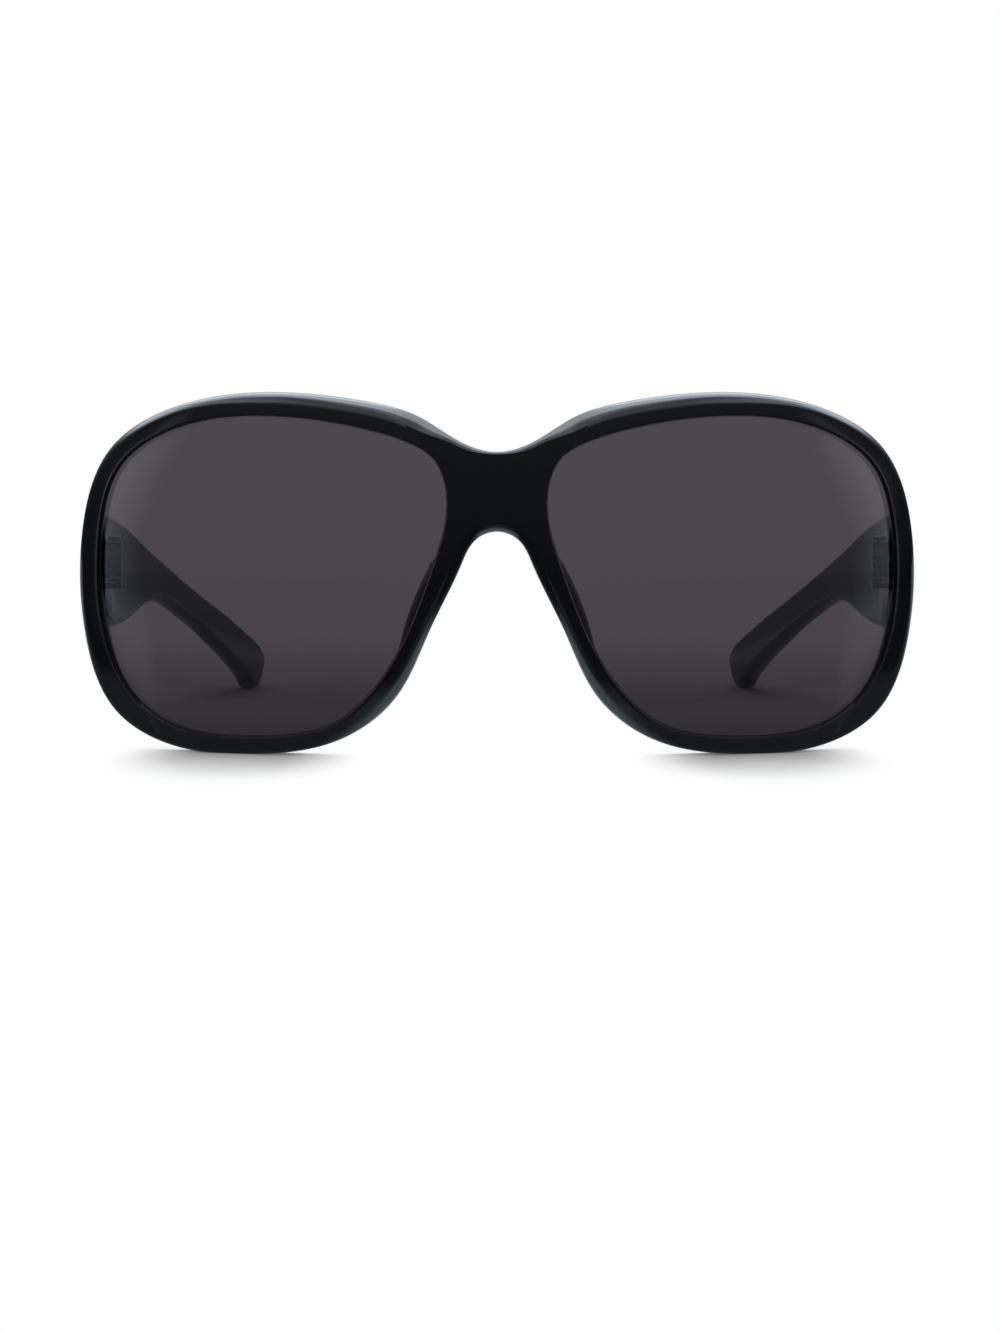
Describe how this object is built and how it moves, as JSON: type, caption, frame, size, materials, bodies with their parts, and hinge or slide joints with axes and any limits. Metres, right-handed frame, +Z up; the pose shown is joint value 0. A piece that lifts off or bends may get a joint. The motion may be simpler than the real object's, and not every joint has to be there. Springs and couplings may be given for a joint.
{
  "type": "sunglasses",
  "caption": "Square black acetate sunglasses with grey-brown lenses, resting open on rims and temple tips.",
  "frame": {"origin": "Bottom centre of the box around the open sunglasses, on the plane they rest on", "axes": "X from the wearer's right to the wearer's left, Y from the front to the temple tips, Z up"},
  "size_m": [0.142, 0.1376, 0.0607],
  "materials": {
    "acetate": "polished black acetate",
    "tinted_lens": "clear, grey-brown tint, polished",
    "nickel_silver": "satin nickel silver",
    "screw_steel": "plain steel"
  },
  "bodies": {
    "front": {"front_frame": "acetate", "lens_left": "tinted_lens", "nose_pad_left": "acetate", "front_hinge_leaf_left": "nickel_silver", "hinge_screw_left": "screw_steel", "front_leaf_screw_lower_left": "screw_steel", "front_leaf_screw_upper_left": "screw_steel", "lens_right": "tinted_lens", "nose_pad_right": "acetate", "front_hinge_leaf_right": "nickel_silver", "hinge_screw_right": "screw_steel", "front_leaf_screw_lower_right": "screw_steel", "front_leaf_screw_upper_right": "screw_steel"},
    "temple_left_body": {"temple_left": "acetate", "temple_core_wire_left": "nickel_silver", "temple_hinge_leaf_left": "nickel_silver", "temple_leaf_screw_lower_left": "screw_steel", "temple_leaf_screw_upper_left": "screw_steel"},
    "temple_right_body": {"temple_right": "acetate", "temple_core_wire_right": "nickel_silver", "temple_hinge_leaf_right": "nickel_silver", "temple_leaf_screw_lower_right": "screw_steel", "temple_leaf_screw_upper_right": "screw_steel"}
  },
  "joints": [
    {"name": "temple_left_hinge", "type": "hinge", "parent": "front", "child": "temple_left_body", "pos_m": [0.0652, -0.04702, 0.03105], "axis": [0, 0, 1], "range_deg": [0, 82]},
    {"name": "temple_right_hinge", "type": "hinge", "parent": "front", "child": "temple_right_body", "pos_m": [-0.0652, -0.04702, 0.03105], "axis": [0, 0, -1], "range_deg": [0, 76]}
  ]
}
